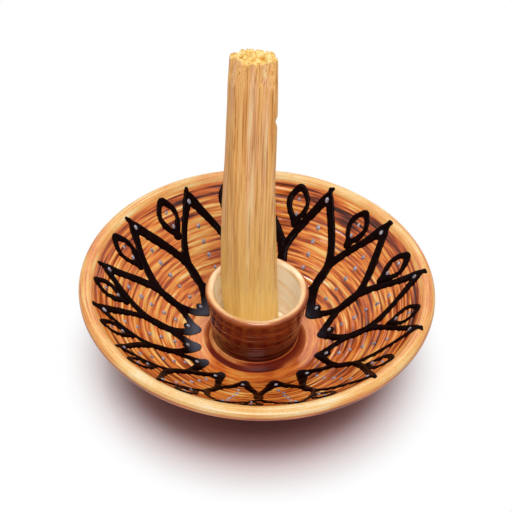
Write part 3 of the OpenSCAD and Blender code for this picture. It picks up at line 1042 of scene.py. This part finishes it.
# Palo santo heartwood: pale tan, split and unfinished, so it is dry and matt. Fine fibres about 0.5 mm
# wide run up it, among brown, rosy and cream streaks about 2 mm wide. Resin makes the foot more golden,
# and the same paler gold is in part painted light on the lower stick, which the cup and the dish shade.
fibre_size = Vector((0.45, 0.45, 40)) * MM
streak_size = Vector((2.2, 2.2, 60)) * MM
crumb_size = 1.2
golden_from = 85
golden_to = 20
wood, tree, shader = new_material("split_palo_santo_heartwood")
place = add_node(tree, "ShaderNodeTexCoord").outputs["Object"]
broken_mark = add_node(tree, "ShaderNodeAttribute", attribute_name="broken").outputs["Fac"]
fibre_map = add_node(
    tree, "ShaderNodeMapping", {"Vector": place, "Scale": [1 / side for side in fibre_size]}
)
fibre = add_node(
    tree, "ShaderNodeTexNoise",
    {"Vector": fibre_map.outputs[0], "Scale": 1.0, "Detail": 4.0, "Roughness": 0.7},
)
streak_map = add_node(
    tree, "ShaderNodeMapping", {"Vector": place, "Scale": [1 / side for side in streak_size]}
)
streak = add_node(
    tree, "ShaderNodeTexNoise",
    {"Vector": streak_map.outputs[0], "Scale": 1.0, "Detail": 3.0, "Distortion": 0.2},
)
tan = add_node(
    tree, "ShaderNodeValToRGB", {"Fac": streak.outputs["Fac"]},
    stops=[(0.3, "#EDB068"), (0.72, "#FFE6AC"), (0.42, "#FAC67A"), (0.52, "#FFD088"), (0.6, "#FAC592")],
)
fibre_tone = add_node(
    tree, "ShaderNodeValToRGB", {"Fac": fibre.outputs["Fac"]},
    stops=[(0.34, "#94632F"), (0.56, "#FFFFFF"), (0.45, "#EBD3AE")],
)
parts = add_node(tree, "ShaderNodeSeparateXYZ", {0: place})
# From 85 mm down to 20 mm the wood is mixed towards a pale gold: resin, and in part painted light on the
# shaded lower stick
foot_way = {"Value": parts.outputs["Z"], "From Min": golden_from * MM, "From Max": golden_to * MM}
resin_and_light_share = add_node(tree, "ShaderNodeMapRange", {**foot_way, "To Min": 0.0, "To Max": 0.75})
resin_and_painted_light = add_node(
    tree, "ShaderNodeMix", {"Factor": resin_and_light_share.outputs[0], 6: tan.outputs["Color"], 7: colour("#FFDD84")},
    data_type="RGBA",
)
fibre_share = add_node(tree, "ShaderNodeMapRange", {**foot_way, "To Min": 0.8, "To Max": 0.22})
fibred = add_node(
    tree, "ShaderNodeMix",
    {"Factor": fibre_share.outputs[0], 6: resin_and_painted_light.outputs[2], 7: fibre_tone.outputs["Color"]},
    data_type="RGBA", blend_type="MULTIPLY",
)
crumb = add_node(
    tree, "ShaderNodeTexNoise", {"Vector": place, "Scale": 1 / (crumb_size * MM), "Detail": 3.0}
)
crumb_tone = add_node(
    tree, "ShaderNodeValToRGB", {"Fac": crumb.outputs["Fac"]},
    stops=[(0.3, "#CB8C30"), (0.7, "#F8E2A6"), (0.5, "#EAC270")],
)
whole = add_node(
    tree, "ShaderNodeMix", {"Factor": broken_mark, 6: fibred.outputs[2], 7: crumb_tone.outputs["Color"]},
    data_type="RGBA",
)
rough = add_node(
    tree, "ShaderNodeBump", {"Height": fibre.outputs["Fac"], "Strength": 0.5, "Distance": 0.25 * MM}
)
tree.links.new(whole.outputs[2], shader.inputs["Base Color"])
tree.links.new(rough.outputs[0], shader.inputs["Normal"])
shader.inputs["Roughness"].default_value = 0.72
shader.inputs["Specular IOR Level"].default_value = 0.3

stick = make_piece("palo_santo_billet", stick_points, stick_faces, wood, broken=broken)
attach(stick, "stick")
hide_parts("palo_santo_stick")

# Studio: a pale paper sweep under the dish, a large soft lamp above and behind it, a smaller one above
# and in front, a small one for glints, and an even white surround. Close to the foot the paper is painted
# darker and warmer, a painted shadow under the dish, and it is plain white beyond the shadow.
floor_half = 1.5
shadow_from = 40
shadow_to = 66
painted_shadow_from = 26
painted_shadow_to = 46
fill_light = 0.36
aim = Vector((0, 0, 30)) * MM
floor_mesh = bpy.data.meshes.new("studio_floor")
floor_corners = floor_half * np.array([[-1, -1, 0], [1, -1, 0], [1, 1, 0], [-1, 1, 0]])
floor_mesh.from_pydata(floor_corners.tolist(), [], [(0, 1, 2, 3)])
floor = bpy.data.objects.new("studio_floor", floor_mesh)
bpy.context.scene.collection.objects.link(floor)


def seen_straight(tree):
    """1 for a ray from the camera or off or through a glossy skin, and 0 for a ray that brings light."""
    path = add_node(tree, "ShaderNodeLightPath")
    clear = add_node(
        tree, "ShaderNodeMath", {0: path.outputs["Is Glossy Ray"], 1: path.outputs["Is Transmission Ray"]},
        operation="MAXIMUM",
    )
    seen = add_node(
        tree, "ShaderNodeMath", {0: path.outputs["Is Camera Ray"], 1: clear.outputs[0]}, operation="MAXIMUM"
    )
    return seen.outputs[0]


sweep, tree, shader = new_material("white_paper_sweep")
place = add_node(tree, "ShaderNodeTexCoord").outputs["Object"]
reach = add_node(tree, "ShaderNodeVectorMath", {0: place}, operation="LENGTH")
fade = add_node(
    tree, "ShaderNodeMapRange",
    {"Value": reach.outputs["Value"], "From Min": shadow_from * MM, "From Max": shadow_to * MM},
    interpolation_type="SMOOTHSTEP",
)
lit = add_node(tree, "ShaderNodeMath", {0: seen_straight(tree), 1: fade.outputs[0]}, operation="MULTIPLY")
white = add_node(tree, "ShaderNodeEmission", {"Color": colour("#FFFFFF"), "Strength": 1.0})
paper = add_node(
    tree, "ShaderNodeMixShader", {0: lit.outputs[0], 1: shader.outputs[0], 2: white.outputs[0]}
)
tree.links.new(paper.outputs[0], tree.nodes["Material Output"].inputs["Surface"])
# Painted shadow: the paper colour darkens and warms from 46 mm in to 26 mm from the middle, under the dish
near = add_node(
    tree, "ShaderNodeMapRange",
    {"Value": reach.outputs["Value"], "From Min": painted_shadow_from * MM, "From Max": painted_shadow_to * MM},
)
paper_with_painted_shadow = add_node(
    tree, "ShaderNodeValToRGB", {"Fac": near.outputs[0]},
    stops=[(0.0, "#7E5045"), (1.0, "#C6AEB1"), (0.45, "#9E787A")],
)
tree.links.new(paper_with_painted_shadow.outputs["Color"], shader.inputs["Base Color"])
shader.inputs["Roughness"].default_value = 0.9
floor_mesh.materials.append(sweep)

for name, spot, size, watts in (
    ("back_softbox", (-0.05, 0.75, 0.8), 0.9, 4.2),
    ("front_softbox", (0.06, -0.46, 0.95), 0.45, 7.0),
    ("window_glint", (-0.3, 0.25, 0.9), 0.05, 1.0),
):
    lamp = bpy.data.lights.new(name, "AREA")
    lamp.size = size
    lamp.energy = watts
    lamp_stand = bpy.data.objects.new(name, lamp)
    lamp_stand.location = spot
    lamp_stand.rotation_euler = (aim - Vector(spot)).to_track_quat("-Z", "Y").to_euler()
    bpy.context.scene.collection.objects.link(lamp_stand)

world = bpy.data.worlds.new("white_surround")
world.use_nodes = True
tree = world.node_tree
level = add_node(
    tree, "ShaderNodeMapRange", {"Value": seen_straight(tree), "To Min": fill_light, "To Max": 1.0}
)
tree.links.new(level.outputs[0], tree.nodes["Background"].inputs["Strength"])
tree.nodes["Background"].inputs["Color"].default_value = colour("#FFFFFF")
bpy.context.scene.world = world

# Camera: the photograph's place, 552 mm from the middle of the dish and 43 degrees above the table,
# tipped a little.
camera_height = math.radians(42.74)
camera_roll = math.radians(2.51)
camera_distance = 552 * MM
camera_target = Vector((-0.83, 13.62, 31.95)) * MM
image_px = 512
focal_px = 1679
ahead = Vector((0, math.cos(camera_height), -math.sin(camera_height)))
level_right = Vector((1, 0, 0))
level_up = level_right.cross(ahead)
right = math.cos(camera_roll) * level_right + math.sin(camera_roll) * level_up
up = math.cos(camera_roll) * level_up - math.sin(camera_roll) * level_right
lens = bpy.data.cameras.new("photo_camera")
lens.sensor_width = 36
lens.lens = focal_px / image_px * lens.sensor_width
lens.clip_start = 0.01
camera = bpy.data.objects.new("photo_camera", lens)
facing = Matrix((right, up, -ahead)).transposed().to_4x4()
camera.matrix_world = Matrix.Translation(camera_target - camera_distance * ahead) @ facing
bpy.context.scene.collection.objects.link(camera)
bpy.context.scene.camera = camera
bpy.context.scene.view_settings.view_transform = "Standard"
